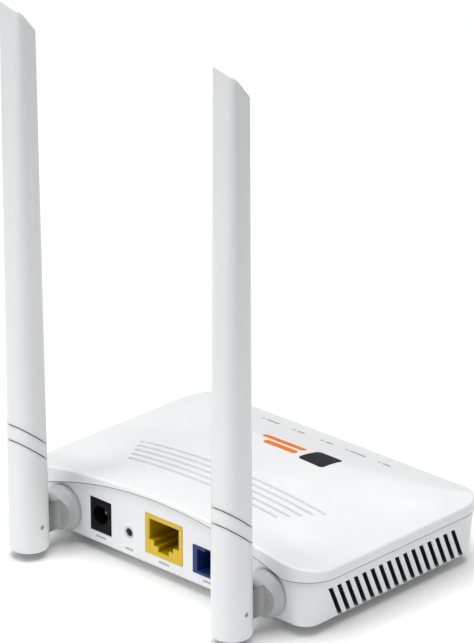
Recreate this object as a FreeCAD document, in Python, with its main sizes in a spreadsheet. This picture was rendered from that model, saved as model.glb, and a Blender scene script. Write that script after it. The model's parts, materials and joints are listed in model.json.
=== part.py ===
import FreeCAD, Part
import math
import os
import re
import Sketcher
from FreeCAD import Rotation, Vector

# An optical network terminal: a small white router with one fibre port, one network port and two
# antennas on knuckle joints behind it. Millimetres, +Z up, +X to the right seen from the front and
# +Y to the rear. Z = 0 is the ground under the rubber feet, and X = Y = 0 is the middle of the
# whole object's outline. Inside the functions below, the case's own frame is used: its rear panel
# is at y = 0, its underside at z = 0 and the front is towards -y.

SIZES = {
    # Case
    "foot_height": 3.2, "foot_radius": 4.5, "foot_x": 49.5, "foot_rear_y": 11.0, "foot_front_y": 68.0,
    "rim_width": 124.0, "rim_front": 82.2, "rim_rear": 1.0, "rim_radius": 12.0, "rim_top": 18.2,
    "base_width": 120.0, "base_front": 78.5, "base_radius": 6.0, "shoulder": 0.4, "wall_radius": 11.6,
    "parting": 14.8, "wall": 2.2, "floor": 1.5, "edge_round": 0.9, "seam": 0.3,
    "lip": 0.8, "lip_height": 1.0, "skirt": 1.6, "roof": 1.5, "rim_round": 0.8,
    "crown": 24.8, "crease_soft": 0.5, "front_slope": 0.25, "arch_top": 23.3, "arch_half": 50.5,
    # Screw posts, screws, foot recesses and the label
    "screw_post": 3.3, "screw_post_height": 3.5, "screw_seat": 2.1, "screw_seat_deep": 3.0,
    "screw_hole": 1.25, "screw_hole_deep": 8.0, "foot_recess": 0.5, "foot_soft": 0.6,
    "screw_head": 1.9, "slot_width": 0.5, "slot_length": 2.4, "slot_deep": 0.5,
    "case_screw_low": 1.6, "case_screw_head": 1.4, "case_screw_shank": 1.0, "case_screw_length": 9.0,
    "board_screw_head": 1.2, "board_screw_shank": 0.9, "board_screw_length": 3.4,
    "board_post": 2.5, "board_pilot": 0.95, "board_pilot_deep": 2.0, "board_hole": 1.2,
    "label_width": 56.0, "label_rear": 22.0, "label_front": 56.0, "label_thick": 0.15,
    # Lines across the top
    "groove_first": 30.0, "groove_pitch": 3.3, "groove_half": 40.0, "groove_step": 2.0,
    "groove_width": 1.2, "groove_deep": 0.8, "groove_count": 5,
    # Side vents
    "vent_count": 16, "vent_pitch": 3.73, "vent_width": 1.8, "vent_rear": 8.3,
    "vent_low": 0.8, "vent_high": 11.8, "vent_lean": 5.8,
    # Circuit board
    "board_low": 2.7, "board_thick": 1.6, "board_half": 43.0, "board_rear": 3.0, "board_front": 70.0,
    "notch_x": 36.0, "notch_y": 13.0, "post_x": 38.0, "post_rear_y": 20.0, "post_front_y": 64.0,
    "chip_soft": 0.2, "dimple_radius": 0.5, "dimple_inset": 1.4, "dimple_deep": 0.15,
    "pad_width": 14.0, "pad_thick": 0.5, "sink_width": 19.0, "sink_height": 8.0, "sink_base": 1.8,
    "fin_thick": 1.5, "fin_gap": 2.0, "fin_gaps": 5,
    "can_width": 20.0, "can_depth": 15.0, "can_height": 3.2, "can_wall": 0.3, "can_soft": 0.6,
    "capacitor_soft": 0.4, "coil_soft": 0.9, "plug_radius": 1.3, "plug_height": 1.5, "plug_base": 3.0,
    "plug_base_height": 0.4,
    # Ports
    "dc_x": 27.7, "dc_width": 9.2, "dc_height": 11.3, "dc_deep": 14.0, "dc_bore": 3.2,
    "dc_bore_deep": 9.5, "dc_middle": 6.0, "dc_bevel": 0.4,
    "dc_pin": 1.0, "dc_pin_back": 2.5, "dc_pin_soft": 0.5,
    "reset_x": 15.2, "reset_z": 8.4, "reset_hole": 1.45,
    "plunger_radius": 1.25, "plunger_travel": 0.5, "plunger_length": 2.6, "plunger_back": 0.25,
    "plunger_soft": 0.3, "switch_back": 0.9, "switch_width": 6.0, "switch_deep": 3.6, "switch_above": 2.8,
    "lan_width": 16.0, "lan_height": 13.4, "lan_deep": 18.0, "lan_cavity": 12.6,
    "lan_cavity_deep": 13.0, "lan_step": 4.2, "lan_notch": 2.3, "lan_notch_low": 1.7, "lan_step_low": 3.3,
    "lan_floor": 4.9, "lan_roof": 11.8, "lan_bevel": 0.35,
    "contact_count": 8, "contact_pitch": 1.27, "contact_width": 0.4, "contact_length": 8.5,
    "contact_thick": 0.3, "contact_tilt": 22.0, "contact_back": 12.0, "contact_rise": 8.3,
    "fibre_x": 19.1, "fibre_width": 13.0, "fibre_height": 9.4, "fibre_deep": 24.0,
    "fibre_mouth": 9.2, "fibre_mouth_height": 7.4, "fibre_mouth_deep": 13.0, "fibre_key": 1.2,
    "fibre_key_deep": 0.8, "sleeve_radius": 1.65, "sleeve_bore": 1.25, "sleeve_length": 14.0,
    "sleeve_back": 7.0, "sleeve_bore_deep": 5.5, "sleeve_fit": 0.05,
    "module_neck": 2.6, "module_neck_length": 4.0, "module_radius": 3.4, "module_length": 8.0,
    "module_back": 3.0, "module_block": 7.2, "module_block_deep": 5.0,
    "port_proud": 0.2, "port_gap": 0.1,
    # Status lights
    "light_count": 5, "light_pitch": 12.3, "light_right": 22.2, "light_width": 3.0,
    "pipe_low": 16.0, "pipe_high": 17.1, "light_y": 67.0,
    "led_width": 1.6, "led_depth": 0.8, "led_height": 0.6, "pipe_depth": 2.4, "pipe_gap": 0.8,
    "pipe_bevel": 1.5, "pipe_bar_low": 11.5, "pipe_bar_thick": 1.5, "window_gap": 0.1,
    # Antennas and their knuckles
    "antenna_x": 44.0, "antenna_reach": 15.7, "pin_z": 8.1, "pin_drop": 8.7, "antenna_length": 180.2,
    "antenna_width": 12.7, "antenna_round": 6.2, "tip_width": 9.4, "tip_thick": 7.4, "tip_round": 1.9,
    "tip_slope": 1.2, "tip_turn": 13.0, "tip_solid": 14.0, "tip_soft": 0.5, "antenna_wall": 1.2,
    "line_slope": 0.82, "line_low": 24.7, "line_high": 29.9, "line_gap": 0.45, "end_round": 1.2,
    "tongue_half": 3.2, "tongue_radius": 4.6, "slot_clear": 0.35, "pin_radius": 0.8, "fit": 0.05,
    "dome_radius": 7.6, "dome_gap": 0.3, "dome_thick": 2.5, "hood_reach": 8.9, "hood_radius": 6.8,
    "sweep_radius": 11.3, "hood_low": 5.75, "hood_soft": 1.4, "shaft_radius": 4.4, "shaft_end": 6.0,
    "boss_radius": 2.75, "boss_bore": 1.05, "boss_bore_deep": 9.0, "boss_drop": 9.6,
    "clip_radius": 6.3, "clip_thick": 1.2, "clip_groove": 3.8, "coax_radius": 0.6, "coax_bore": 1.1,
    "spigot_radius": 4.3, "spigot_top": 37.0, "hollow_radius": 3.4, "hollow_low": 10.0,
    "antenna_lead_low": 0.9, "antenna_lead": 54.0, "knuckle_lead_back": 1.6, "clip_mouth": 6.0,
    "radiator_radius": 2.2, "radiator_low": 50.0, "radiator_length": 32.0, "radiator_bore": 0.62,
    "rod_radius": 0.6, "rod_length": 29.0, "pin_clear": 1.7, "pin_cover": 0.8,
}

# Parts on the circuit board: the middle of each, then its width, depth and height.
BOARD_PARTS = {
    "soc_chip": ((8, -47), (15, 15, 1.2)),
    "memory_chip": ((-13, -50), (8, 12, 1.1)),
    "flash_chip": ((-27, -57), (8, 6, 1.5)),
    "wifi_chip": ((28, -42), (9, 9, 0.9)),
    "ethernet_transformer": ((3, -26), (15, 9, 4.5)),
    "input_regulator": ((19, -19), (5, 4, 1.4)),
    "core_regulator": ((-33, -42), (3, 3, 1.1)),
    "radio_regulator": ((36, -52), (3, 3, 1.1)),
    "input_coil": ((30, -28), (6, 6, 3)),
    "core_coil": ((-28, -38), (5, 5, 2.8)),
    "main_crystal": ((-4, -39), (3.2, 2.5, 0.8)),
    "radio_crystal": ((16, -60), (3.2, 2.5, 0.8)),
}

# Can capacitors: the middle of each, then its radius and height.
CANS = {
    "bulk_capacitor": ((27.5, -19.5), 3.15, 7.7),
    "output_capacitor": ((20, -27), 3.15, 7.7),
    "core_capacitor": ((-36, -31), 2.5, 5.4),
}

# Rows of ceramic capacitors: the rear one of each row, and the size and pitch they share.
CERAMIC_ROWS = {"soc_ceramic": (21, -52.5), "rail_ceramic": (-5, -44), "memory_ceramic": (-20, -44)}
CERAMIC_SIZE = (1.6, 0.8, 0.8)
CERAMIC_PITCH = 2
CERAMIC_COUNT = 6

# Where the raised middle of the top gives way to the hollow on each side: distance in front of
# the rear panel, and distance from the middle.
CREST_REAR = 27.0
CREST_MIDDLE = 14.5
CREST_FRONT = 16.0

SIDES = {"left": 1, "right": -1}
ENDS = ("rear", "front")
BOARD_TOP = "board_low + board_thick"

doc = FreeCAD.newDocument("optical_network_terminal")
dims = doc.addObject("Spreadsheet::Sheet", "dims")
nodes = []


# Sizes and formulas

def fill_sheet():
    """Writes each driving dimension to the sheet, with its name as the cell's alias."""
    for row, (name, size) in enumerate(SIZES.items(), start=1):
        dims.set(f"A{row}", name)
        dims.set(f"B{row}", str(size))
        dims.setAlias(f"B{row}", name)
    doc.recompute()


def formula(text):
    """A size given in the sheet's names, as an expression that other objects can use."""
    return re.sub(r"[a-z_]+", lambda word: f"dims.{word[0]}" if word[0] in SIZES else word[0], str(text))


def number(text):
    """The value in millimetres of a size given in the sheet's names."""
    return float(dims.evalExpression(str(text)))


def bind(thing, name, text):
    thing.setExpression(name, formula(text))


def in_case(thing, x="0", y="0", z="0"):
    """Puts a finished sub-part in the part's frame, from its place in the case's own frame."""
    bind(thing, ".Placement.Base.x", x)
    bind(thing, ".Placement.Base.y", f"({y}) + (rim_front - antenna_reach - antenna_width / 2) / 2")
    bind(thing, ".Placement.Base.z", f"({z}) + foot_height")


def keep(thing, name):
    """Names a finished sub-part and lists it for export."""
    thing.Label = name
    nodes.append(thing)
    return thing


# Part primitives and booleans

def block(name, x, y, z):
    """A box between two formulas along each axis."""
    made = doc.addObject("Part::Box", name)
    for size, axis, (low, high) in zip(("Length", "Width", "Height"), "xyz", (x, y, z)):
        bind(made, size, f"({high}) - ({low})")
        bind(made, f".Placement.Base.{axis}", low)
    return made


def rod(name, radius, length, at, turn=None):
    """A cylinder from a point, along +Z unless it is turned."""
    made = doc.addObject("Part::Cylinder", name)
    made.Placement.Rotation = turn or Rotation()
    bind(made, "Radius", radius)
    bind(made, "Height", length)
    for axis, place in zip("xyz", at):
        bind(made, f".Placement.Base.{axis}", place)
    return made


TO_FRONT = Rotation(Vector(1, 0, 0), 90)
TO_RIGHT = Rotation(Vector(0, 1, 0), 90)


def fuse(name, shapes):
    made = doc.addObject("Part::MultiFuse", name)
    made.Shapes = shapes
    return made


def cut(name, base, tool):
    made = doc.addObject("Part::Cut", name)
    made.Base = base
    made.Tool = tool
    return made


def group(name, shapes):
    """Separate solids that share one node."""
    made = doc.addObject("Part::Compound", name)
    made.Links = shapes
    in_case(made)
    return keep(made, name)


def soften(name, base, radius, test):
    """Rounds the edges of a primitive or boolean that pass a test."""
    doc.recompute()
    size = number(radius)
    made = doc.addObject("Part::Fillet", name)
    made.Base = base
    made.Edges = [(i, size, size) for i, edge in enumerate(base.Shape.Edges, start=1) if test(edge)]
    return made


# PartDesign bodies

def new_body(name):
    made = doc.addObject("PartDesign::Body", name)
    return keep(made, name)


def origin_part(body, role):
    return next(part for part in body.Origin.OriginFeatures if part.Role == role)


def new_sketch(body, name, role, lift="0"):
    """An empty sketch on one of the body's origin planes, lifted along the plane's normal.

    XY_Plane lifts to +Z, YZ_Plane to +X and XZ_Plane to -Y.
    """
    made = body.newObject("Sketcher::SketchObject", name)
    made.AttachmentSupport = [(origin_part(body, role), "")]
    made.MapMode = "FlatFace"
    bind(made, ".AttachmentOffset.Base.z", lift)
    return made


def hold(sketch, name, constraint, text):
    """Adds a dimension to a sketch and binds it to a formula."""
    index = sketch.addConstraint(constraint)
    sketch.renameConstraint(index, name)
    bind(sketch, f"Constraints.{name}", text)


def arc_between(start, end, radius):
    """The arc of a radius that bulges out of an anticlockwise outline, or into it if negative."""
    if radius < 0:
        return arc_between(end, start, -radius)
    middle = (start + end) / 2
    chord = end - start
    across = Vector(-chord.y, chord.x, 0)
    across.normalize()
    centre = middle + across * math.sqrt(max(radius ** 2 - (chord.Length / 2) ** 2, 0))
    return Part.ArcOfCircle(
        Part.Circle(centre, Vector(0, 0, 1), radius),
        math.atan2(start.y - centre.y, start.x - centre.x),
        math.atan2(end.y - centre.y, end.x - centre.x),
    )


def outline(sketch, points, arcs=None):
    """A closed outline through corner points, anticlockwise.

    arcs gives an edge a radius, which is negative where the edge bends into the outline.
    """
    arcs = arcs or {}
    inward = [i for i, radius in arcs.items() if number(radius) < 0]
    first = sketch.GeometryCount
    corners = [Vector(number(x), number(y), 0) for x, y in points]
    for i, start in enumerate(corners):
        end = corners[(i + 1) % len(corners)]
        if i in arcs:
            sketch.addGeometry(arc_between(start, end, number(arcs[i])), False)
        else:
            sketch.addGeometry(Part.LineSegment(start, end), False)
    for i, (x, y) in enumerate(points):
        edge = first + i
        after = (i + 1) % len(points)
        start, end = (2, 1) if i in inward else (1, 2)
        joins = 2 if after in inward else 1
        sketch.addConstraint(Sketcher.Constraint("Coincident", edge, end, first + after, joins))
        hold(sketch, f"x_{edge}", Sketcher.Constraint("DistanceX", -1, 1, edge, start, corners[i].x), x)
        hold(sketch, f"y_{edge}", Sketcher.Constraint("DistanceY", -1, 1, edge, start, corners[i].y), y)
    for i, radius in arcs.items():
        edge = first + i
        size = f"abs({radius})"
        hold(sketch, f"bend_{edge}", Sketcher.Constraint("Radius", edge, number(size)), size)


def rounded_outline(sketch, x, y, radius):
    """A rectangle between two formulas along each axis, with round corners."""
    first = sketch.GeometryCount
    (left, right), (low, high) = x, y
    x0, x1, y0, y1, r = (number(text) for text in (left, right, low, high, radius))
    sides = [((x0 + r, y0), (x1 - r, y0)), ((x1, y0 + r), (x1, y1 - r)),
             ((x1 - r, y1), (x0 + r, y1)), ((x0, y1 - r), (x0, y0 + r))]
    centres = [(x1 - r, y0 + r), (x1 - r, y1 - r), (x0 + r, y1 - r), (x0 + r, y0 + r)]
    for i, ((start, end), centre) in enumerate(zip(sides, centres)):
        circle = Part.Circle(Vector(*centre, 0), Vector(0, 0, 1), r)
        sketch.addGeometry(Part.LineSegment(Vector(*start, 0), Vector(*end, 0)), False)
        sketch.addGeometry(Part.ArcOfCircle(circle, (i - 1) * math.pi / 2, i * math.pi / 2), False)
    for i in range(8):
        sketch.addConstraint(Sketcher.Constraint("Tangent", first + i, 2, first + (i + 1) % 8, 1))
    for i, straight in enumerate(("Horizontal", "Vertical")):
        sketch.addConstraint(Sketcher.Constraint(straight, first + 2 * i))
        sketch.addConstraint(Sketcher.Constraint(straight, first + 2 * i + 4))
    for arc in (3, 5, 7):
        sketch.addConstraint(Sketcher.Constraint("Equal", first + 1, first + arc))
    hold(sketch, f"corner_{first}", Sketcher.Constraint("Radius", first + 1, r), radius)
    hold(sketch, f"right_{first}", Sketcher.Constraint("DistanceX", -1, 1, first + 2, 1, x1), right)
    hold(sketch, f"left_{first}", Sketcher.Constraint("DistanceX", -1, 1, first + 6, 1, x0), left)
    hold(sketch, f"low_{first}", Sketcher.Constraint("DistanceY", -1, 1, first, 1, y0), low)
    hold(sketch, f"high_{first}", Sketcher.Constraint("DistanceY", -1, 1, first + 4, 1, y1), high)


def circle(sketch, x, y, radius):
    index = sketch.addGeometry(Part.Circle(Vector(number(x), number(y), 0), Vector(0, 0, 1), number(radius)))
    hold(sketch, f"radius_{index}", Sketcher.Constraint("Radius", index, number(radius)), radius)
    hold(sketch, f"x_{index}", Sketcher.Constraint("DistanceX", -1, 1, index, 3, number(x)), x)
    hold(sketch, f"y_{index}", Sketcher.Constraint("DistanceY", -1, 1, index, 3, number(y)), y)


def feature(body, kind, sketch, length, both_ways=False, reverse=False):
    """A Pad or Pocket of a sketch, by a length, to one side or to both."""
    made = body.newObject(f"PartDesign::{kind}", f"{sketch.Name}_{kind.lower()}")
    made.Profile = sketch
    made.Midplane = both_ways
    made.Reversed = reverse
    bind(made, "Length", length)
    doc.recompute()
    return made


def loft(body, kind, lower, *upper):
    """A straight loft through sketches with the same edges."""
    made = body.newObject(f"PartDesign::{kind}", f"{lower.Name}_loft")
    made.Profile = lower
    made.Sections = list(upper)
    made.Ruled = True
    doc.recompute()
    return made


def revolve(body, sketch, axis):
    made = body.newObject("PartDesign::Revolution", f"{sketch.Name}_turned")
    made.Profile = sketch
    made.ReferenceAxis = (sketch, [axis])
    made.Angle = 360
    doc.recompute()
    return made


def round_edges(body, base, radius, test, kind="Fillet"):
    """Rounds or chamfers the edges of the last feature that pass a test."""
    made = body.newObject(f"PartDesign::{kind}", f"{base.Name}_{kind.lower()}")
    made.Base = (base, [f"Edge{i}" for i, edge in enumerate(base.Shape.Edges, start=1) if test(edge)])
    bind(made, "Radius" if kind == "Fillet" else "Size", radius)
    doc.recompute()
    return made


def row(body, original, role, pitch, count, reverse=False):
    """Repeats a feature along one of the body's axes."""
    made = body.newObject("PartDesign::LinearPattern", f"{original.Name}_row")
    made.Originals = [original]
    made.Direction = (origin_part(body, role), [""])
    made.Reversed = reverse
    bind(made, "Length", f"({pitch}) * (({count}) - 1)")
    bind(made, "Occurrences", count)
    body.Tip = made
    doc.recompute()
    return made


def level(edge, z):
    """Whether an edge lies in the plane at a height."""
    return abs(edge.BoundBox.ZMin - z) < 0.01 and abs(edge.BoundBox.ZMax - z) < 0.01


# Bottom case

def shoulder_outline(sketch, inset):
    """The case's outline at the parting line, inset from its outer face."""
    rounded_outline(
        sketch,
        (f"-(rim_width / 2 - shoulder - ({inset}))", f"rim_width / 2 - shoulder - ({inset})"),
        (f"-(rim_front - shoulder - ({inset}))", f"-({inset})"),
        f"wall_radius - ({inset})",
    )


def base_outline(sketch, inset):
    """The case's outline at its underside, inset from its outer face."""
    rounded_outline(
        sketch,
        (f"-(base_width / 2 - ({inset}))", f"base_width / 2 - ({inset})"),
        (f"-(base_front - ({inset}))", f"-({inset})"),
        f"base_radius - ({inset})",
    )


def case_tray(body):
    """The tapered tray, with its floor and walls and a bevel around its underside."""
    under = new_sketch(body, "case_under", "XY_Plane")
    base_outline(under, "edge_round")
    low = new_sketch(body, "case_low", "XY_Plane", "edge_round")
    base_outline(low, "0")
    high = new_sketch(body, "case_high", "XY_Plane", "parting")
    shoulder_outline(high, "0")
    loft(body, "AdditiveLoft", under, low, high)
    low = new_sketch(body, "hollow_low_edge", "XY_Plane", "floor")
    base_outline(low, "wall")
    high = new_sketch(body, "hollow_high_edge", "XY_Plane", "parting")
    shoulder_outline(high, "wall")
    loft(body, "SubtractiveLoft", low, high)


def case_lip(body):
    """The lip inside the cover's skirt, and the tall rear panel with its arched top."""
    ring = new_sketch(body, "lip_ring", "XY_Plane", "parting")
    shoulder_outline(ring, "wall - lip")
    shoulder_outline(ring, "wall")
    feature(body, "Pad", ring, "lip_height")
    arch = new_sketch(body, "rear_arch", "XZ_Plane")
    rise = "(arch_top - parting)"
    outline(
        arch,
        [("-arch_half", "parting - 2"), ("arch_half", "parting - 2"),
         ("arch_half", "parting - seam"), ("-arch_half", "parting - seam")],
        {2: f"(arch_half ^ 2 + {rise} ^ 2) / (2 * {rise})"},
    )
    feature(body, "Pad", arch, "wall")


def case_ports(body):
    """The openings in the rear panel for the ports, the reset hole and the antenna shafts."""
    holes = new_sketch(body, "port_holes", "XZ_Plane")
    board_top = "board_low + board_thick - port_gap"
    ports = [("dc_x", "dc_width", "dc_height"), ("0", "lan_width", "lan_height"),
             ("-fibre_x", "fibre_width", "fibre_height")]
    for x, width, height in ports:
        left = f"{x} - {width} / 2 - port_gap"
        right = f"{x} + {width} / 2 + port_gap"
        top = f"board_low + board_thick + {height} + port_gap"
        outline(holes, [(left, board_top), (right, board_top), (right, top), (left, top)])
    circle(holes, "reset_x", "reset_z", "reset_hole")
    for side in SIDES.values():
        circle(holes, f"{side} * antenna_x", "pin_z", "shaft_radius + fit")
    feature(body, "Pocket", holes, "4 * wall", both_ways=True)


def case_vents(body):
    """The leaning vent slots in both side walls, which run out at the underside's edge."""
    for name, side in SIDES.items():
        lift = "rim_width / 2" if side > 0 else "-rim_width / 2"
        slot = new_sketch(body, f"{name}_vent", "YZ_Plane", lift)
        outline(slot, [("-vent_rear - vent_lean - vent_width", "vent_low"),
                       ("-vent_rear - vent_lean", "vent_low"),
                       ("-vent_rear", "vent_high"), ("-vent_rear - vent_width", "vent_high")])
        pocket = feature(body, "Pocket", slot, "2.2 * wall", reverse=side < 0)
        row(body, pocket, "Y_Axis", "vent_pitch", "vent_count", reverse=True)


def four_places(kind):
    """The middles of the four feet or board posts, one near each corner."""
    return [(f"{side} * {kind}_x", f"-{kind}_{place}_y") for side in SIDES.values() for place in ENDS]


def case_posts(body):
    """The posts for the cover's screws and for the board, the foot recesses and the screw holes."""
    corners = four_places("foot")
    board = four_places("post")
    steps = [
        ("screw_posts", "Pad", corners, "floor", "screw_post", "screw_post_height"),
        ("board_posts", "Pad", board, "floor", "board_post", "board_low - floor"),
        ("foot_recesses", "Pocket", corners, "0", "foot_radius + port_gap", "foot_recess"),
        ("screw_seats", "Pocket", corners, "0", "screw_seat", "screw_seat_deep"),
        ("screw_holes", "Pocket", corners, "0", "screw_hole", "screw_hole_deep"),
    ]
    for name, kind, places, lift, radius, length in steps:
        sketch = new_sketch(body, name, "XY_Plane", lift)
        for x, y in places:
            circle(sketch, x, y, radius)
        feature(body, kind, sketch, length, reverse=kind == "Pocket")
    sketch = new_sketch(body, "board_pilots", "XY_Plane", "board_low")
    for x, y in board:
        circle(sketch, x, y, "board_pilot")
    feature(body, "Pocket", sketch, "board_pilot_deep")


def bottom_case():
    body = new_body("bottom_case")
    case_tray(body)
    case_lip(body)
    case_ports(body)
    case_posts(body)
    case_vents(body)
    in_case(body)


# Top cover

def smooth_step(value):
    value = min(max(value, 0), 1)
    return value * value * (3 - 2 * value)


def blend_low(first, second, softness):
    """The lower of two heights, with the crease between them rounded."""
    return (first + second - math.hypot(first - second, softness)) / 2


def cover_height(x, y):
    """The height of the cover's top over a point: an arched middle, a hollow on each side and a
    sloping strip along the front."""
    across = abs(x)
    ahead = -y
    half = SIZES["rim_width"] / 2
    soft = SIZES["crease_soft"]
    rim = SIZES["rim_top"] + soft / 2
    crown = SIZES["crown"] + soft / 2
    arch = crown - (crown - rim) * (across / half) ** 2
    crest = CREST_REAR + CREST_MIDDLE * smooth_step(ahead / 32) + CREST_FRONT * smooth_step((ahead - 46) / 22)
    top = crown - (crown - rim) * (crest / half) ** 2
    inward = max(half - across, 0) / (half - crest)
    hollow = rim + (top - rim) * inward ** 2
    fade = smooth_step(ahead / 14)
    sides = blend_low(arch, arch + fade * (hollow - arch), soft)
    front = SIZES["rim_top"] + SIZES["front_slope"] * (SIZES["rim_front"] - ahead)
    return blend_low(sides, front, 2 * soft * smooth_step((half - across) / 24))


def height_field(lower):
    """A solid that fills everything under the cover's top, lowered by a distance."""
    columns, rows = 63, 49
    half = number("rim_width / 2") + 2
    rear = number("rim_rear") + 2
    front = -number("rim_front") - 2
    grid = []
    for i in range(columns):
        x = -half + 2 * half * i / (columns - 1)
        line = [front + (rear - front) * j / (rows - 1) for j in range(rows)]
        grid.append([Vector(x, y, cover_height(x, y) - lower) for y in line])
    surface = Part.BSplineSurface()
    surface.interpolate(grid)
    return surface.toShape().extrude(Vector(0, 0, -40))


def prism(x, y, radius, low, high):
    """An upright block with round corners."""
    width, depth = 2 * x, y[1] - y[0]
    shape = Part.makeBox(width, depth, high - low, Vector(-x, y[0], low))
    upright = [edge for edge in shape.Edges if abs(edge.BoundBox.ZLength - (high - low)) < 0.01]
    return shape.makeFillet(radius, upright)


def rim_prism(inset, low, high):
    """The cover's outline, inset, as an upright block."""
    half = number("rim_width / 2") - inset
    depth = (-number("rim_front") + inset, number("rim_rear") - inset)
    return prism(half, depth, number("rim_radius") - inset, low, high)


def arch_block(raise_by):
    """The rear panel's arched outline as a block through the cover's rear rim."""
    half = number("arch_half")
    low = number("parting")
    top = number("arch_top") + raise_by
    start = Vector(-half, 5, low + raise_by)
    end = Vector(half, 5, low + raise_by)
    arc = Part.Arc(start, Vector(0, 5, top), end).toShape()
    corners = [end, Vector(half, 5, low - 5), Vector(-half, 5, low - 5), start]
    wire = Part.Wire([arc, *Part.makePolygon(corners).Edges])
    return Part.Face(wire).extrude(Vector(0, -5 - number("wall + seam"), 0))


def cover_grooves():
    """Thin lines across the raised middle, each shorter than the one in front of it."""
    lines = []
    wide = number("groove_width")
    for i in range(int(number("groove_count"))):
        y = number(f"-groove_first + {i} * groove_pitch")
        half = number(f"groove_half - {i} * groove_step")
        start = Vector(-half, y - wide / 2, number("parting"))
        lines.append(Part.makeBox(2 * half, wide, 20, start))
    return Part.makeCompound(lines).cut(height_field(number("groove_deep")))


def cover_bosses():
    """Hollow bosses that the case screws go into."""
    low = number("parting - boss_drop")
    outside, bore, deep = number("boss_radius"), number("boss_bore"), number("boss_bore_deep")
    bosses = []
    for x, y in four_places("foot"):
        foot = Vector(number(x), number(y), low)
        bosses.append(Part.makeCylinder(outside, 16, foot).cut(Part.makeCylinder(bore, deep, foot)))
    return Part.makeCompound(bosses)


def light_places():
    """The x of each status light, from the right."""
    return [number(f"light_right - {i} * light_pitch") for i in range(int(number("light_count")))]


def top_cover():
    low = number("parting")
    outer = rim_prism(0, low, 40).common(height_field(0))
    rim = [edge for edge in outer.Edges if edge.BoundBox.ZMin > number("rim_top") - 1.5]
    outer = outer.makeFillet(number("rim_round"), rim)
    inner = rim_prism(number("skirt"), low - 1, 40).common(height_field(number("roof")))
    shape = outer.cut(inner).cut(arch_block(0))
    bosses = cover_bosses().common(height_field(number("roof") / 2))
    shape = shape.fuse(bosses.Solids)
    shape = shape.cut(cover_grooves())
    width = number("light_width + 2 * window_gap")
    window = number("pipe_high - pipe_low + 2 * window_gap")
    for x in light_places():
        at = Vector(x - width / 2, -number("rim_front") - 1, number("pipe_low - window_gap"))
        shape = shape.cut(Part.makeBox(width, 4, window, at))
    solids = shape.removeSplitter().Solids
    if len(solids) != 1:
        raise SystemExit(f"the top cover came out as {len(solids)} pieces")
    made = doc.addObject("Part::Feature", "top_cover")
    made.Shape = solids[0]
    in_case(made)
    keep(made, "top_cover")


# Feet, screws and the label

def on_ground(edge):
    return level(edge, -number("foot_height"))


def rubber_feet():
    feet = []
    for i, (x, y) in enumerate(four_places("foot")):
        foot = doc.addObject("Part::Cone", f"foot_{i}")
        bind(foot, "Radius1", "foot_radius - foot_recess")
        bind(foot, "Radius2", "foot_radius")
        bind(foot, "Height", "foot_height + foot_recess")
        bind(foot, ".Placement.Base.x", x)
        bind(foot, ".Placement.Base.y", y)
        bind(foot, ".Placement.Base.z", "-foot_height")
        feet.append(soften(f"{foot.Name}_soft", foot, "foot_soft", on_ground))
    group("rubber_feet", feet)


def screw(kind, name, place, low, up):
    """A pan-head case or board screw, with its shank above or below its head."""
    x, y = place
    head, length = f"{kind}_head", f"{kind}_length"
    start = f"{low} + {head}" if up else f"{low} - {length}"
    parts = [rod(f"{name}_head", "screw_head", head, (x, y, low)),
             rod(f"{name}_shank", f"{kind}_shank", length, (x, y, start))]
    slot_low = low if up else f"{low} + {head} - slot_deep"
    slot = block(f"{name}_slot", (f"{x} - slot_width / 2", f"{x} + slot_width / 2"),
                 (f"{y} - slot_length / 2", f"{y} + slot_length / 2"), (slot_low, f"{slot_low} + slot_deep"))
    return cut(name, fuse(f"{name}_whole", parts), slot)


def screws():
    case = [screw("case_screw", f"case_screw_{i}", place, "case_screw_low", True)
            for i, place in enumerate(four_places("foot"))]
    board = [screw("board_screw", f"board_screw_{i}", place, BOARD_TOP, False)
             for i, place in enumerate(four_places("post"))]
    group("case_screws", case)
    group("board_screws", board)


def rating_label():
    left, front, low = "-label_width / 2", "-label_front", "-label_thick"
    label = block("rating_label", (left, "label_width / 2"), (front, "-label_rear"), (low, "0"))
    keep(label, "rating_label")
    in_case(label, left, front, low)


# Circuit board and what is soldered to it

def main_board():
    body = new_body("main_board")
    sketch = new_sketch(body, "board_outline", "XY_Plane", "board_low")
    outline(sketch, [("-board_half", "-board_front"), ("board_half", "-board_front"),
                     ("board_half", "-notch_y"), ("notch_x", "-notch_y"), ("notch_x", "-board_rear"),
                     ("-notch_x", "-board_rear"), ("-notch_x", "-notch_y"), ("-board_half", "-notch_y")])
    for x, y in four_places("post"):
        circle(sketch, x, y, "board_hole")
    feature(body, "Pad", sketch, "board_thick")
    in_case(body)


def on_board(name, middle, size, low=BOARD_TOP):
    """A box standing on the board, from its middle and its size."""
    (x, y), (width, depth, height) = middle, size
    across = (f"{x} - ({width}) / 2", f"{x} + ({width}) / 2")
    along = (f"{y} - ({depth}) / 2", f"{y} + ({depth}) / 2")
    return block(name, across, along, (low, f"{low} + {height}"))


def plain_part(name):
    return on_board(name, *BOARD_PARTS[name])


def chip(name):
    """A packaged chip with softened upper edges and a dimple at its first pin."""
    (x, y), (width, depth, height) = BOARD_PARTS[name]
    whole = on_board(f"{name}_package", (x, y), (width, depth, height))
    top = f"{BOARD_TOP} + {height}"
    first_pin = (f"{x - width / 2} + dimple_inset", f"{y + depth / 2} - dimple_inset", f"{top} - dimple_deep")
    made = cut(f"{name}_marked", whole, rod(f"{name}_dimple", "dimple_radius", "2 * dimple_deep", first_pin))
    edge = number(top)
    soft = soften(name, made, "chip_soft", lambda line: level(line, edge) and not line.Closed)
    in_case(soft)
    keep(soft, name)


def chips():
    for name in ("soc_chip", "memory_chip", "flash_chip", "wifi_chip", "ethernet_transformer"):
        chip(name)
    regulators = ("input_regulator", "core_regulator", "radio_regulator")
    group("regulator_chips", [plain_part(name) for name in regulators])


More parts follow.
